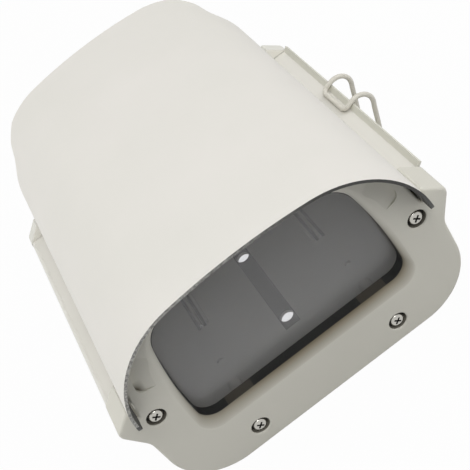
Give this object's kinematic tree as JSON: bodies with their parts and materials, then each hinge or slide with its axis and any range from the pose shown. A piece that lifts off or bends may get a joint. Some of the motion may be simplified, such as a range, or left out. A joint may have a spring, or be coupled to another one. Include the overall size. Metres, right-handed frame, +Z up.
{
  "type": "security camera housing",
  "caption": "Compact weatherproof camera housing: side-opening cover with bent sunshield, window end cap, spring-wire latch and rear cable glands.",
  "frame": {"origin": "middle of the two bracket holes, on the underside of the floor", "axes": "-Y towards the window end, +X towards the latch side, +Z up"},
  "size_m": [0.1601, 0.1799, 0.1072],
  "materials": {
    "painted_casting": "cream powder coat on cast aluminium",
    "painted_cover": "cream powder coat on extruded aluminium",
    "painted_sheet": "cream powder coat on bent aluminium sheet",
    "pane_glass": "clear flat glass",
    "black_rubber": "soft black rubber",
    "grey_rubber": "firm grey rubber",
    "plated_steel": "zinc plated",
    "coated_wire": "cream coated spring steel",
    "nylon": "light grey nylon"
  },
  "bodies": {
    "housing": {"base_shell": "painted_casting", "front_cap": "painted_casting", "rear_cap": "painted_casting", "window_glass": "pane_glass", "window_gasket": "black_rubber", "window_clamp": "plated_steel", "clamp_screws": "plated_steel", "front_cap_screws": "plated_steel", "rear_cap_screws": "plated_steel", "front_screw_seals": "black_rubber", "rear_screw_seals": "black_rubber", "front_cap_gasket": "grey_rubber", "rear_cap_gasket": "grey_rubber", "cover_seals": "black_rubber", "hinge_pin": "plated_steel", "latch_bracket": "coated_wire", "latch_rivets": "plated_steel", "gland_washer_left": "black_rubber", "gland_nut_left": "nylon", "gland_body_left": "nylon", "gland_dome_left": "nylon", "gland_seal_left": "black_rubber", "gland_washer_right": "black_rubber", "gland_nut_right": "nylon", "gland_body_right": "nylon", "gland_dome_right": "nylon", "gland_seal_right": "black_rubber"},
    "cover": {"top_cover": "painted_cover", "sunshield": "painted_sheet", "shield_spacers": "nylon", "shield_washers": "plated_steel", "shield_nuts": "plated_steel"},
    "latch": {"latch_wire": "coated_wire"}
  },
  "joints": [
    {"name": "cover_hinge", "type": "hinge", "parent": "housing", "child": "cover", "pos_m": [-0.0732, 0, 0.0529], "axis": [0, -1, 0], "range_deg": [0, 100]},
    {"name": "latch_swing", "type": "hinge", "parent": "housing", "child": "latch", "pos_m": [0.0795, 0.00605, 0.031], "axis": [0, 1, 0], "range_deg": [0, 110], "deforming": ["latch_wire"]}
  ]
}
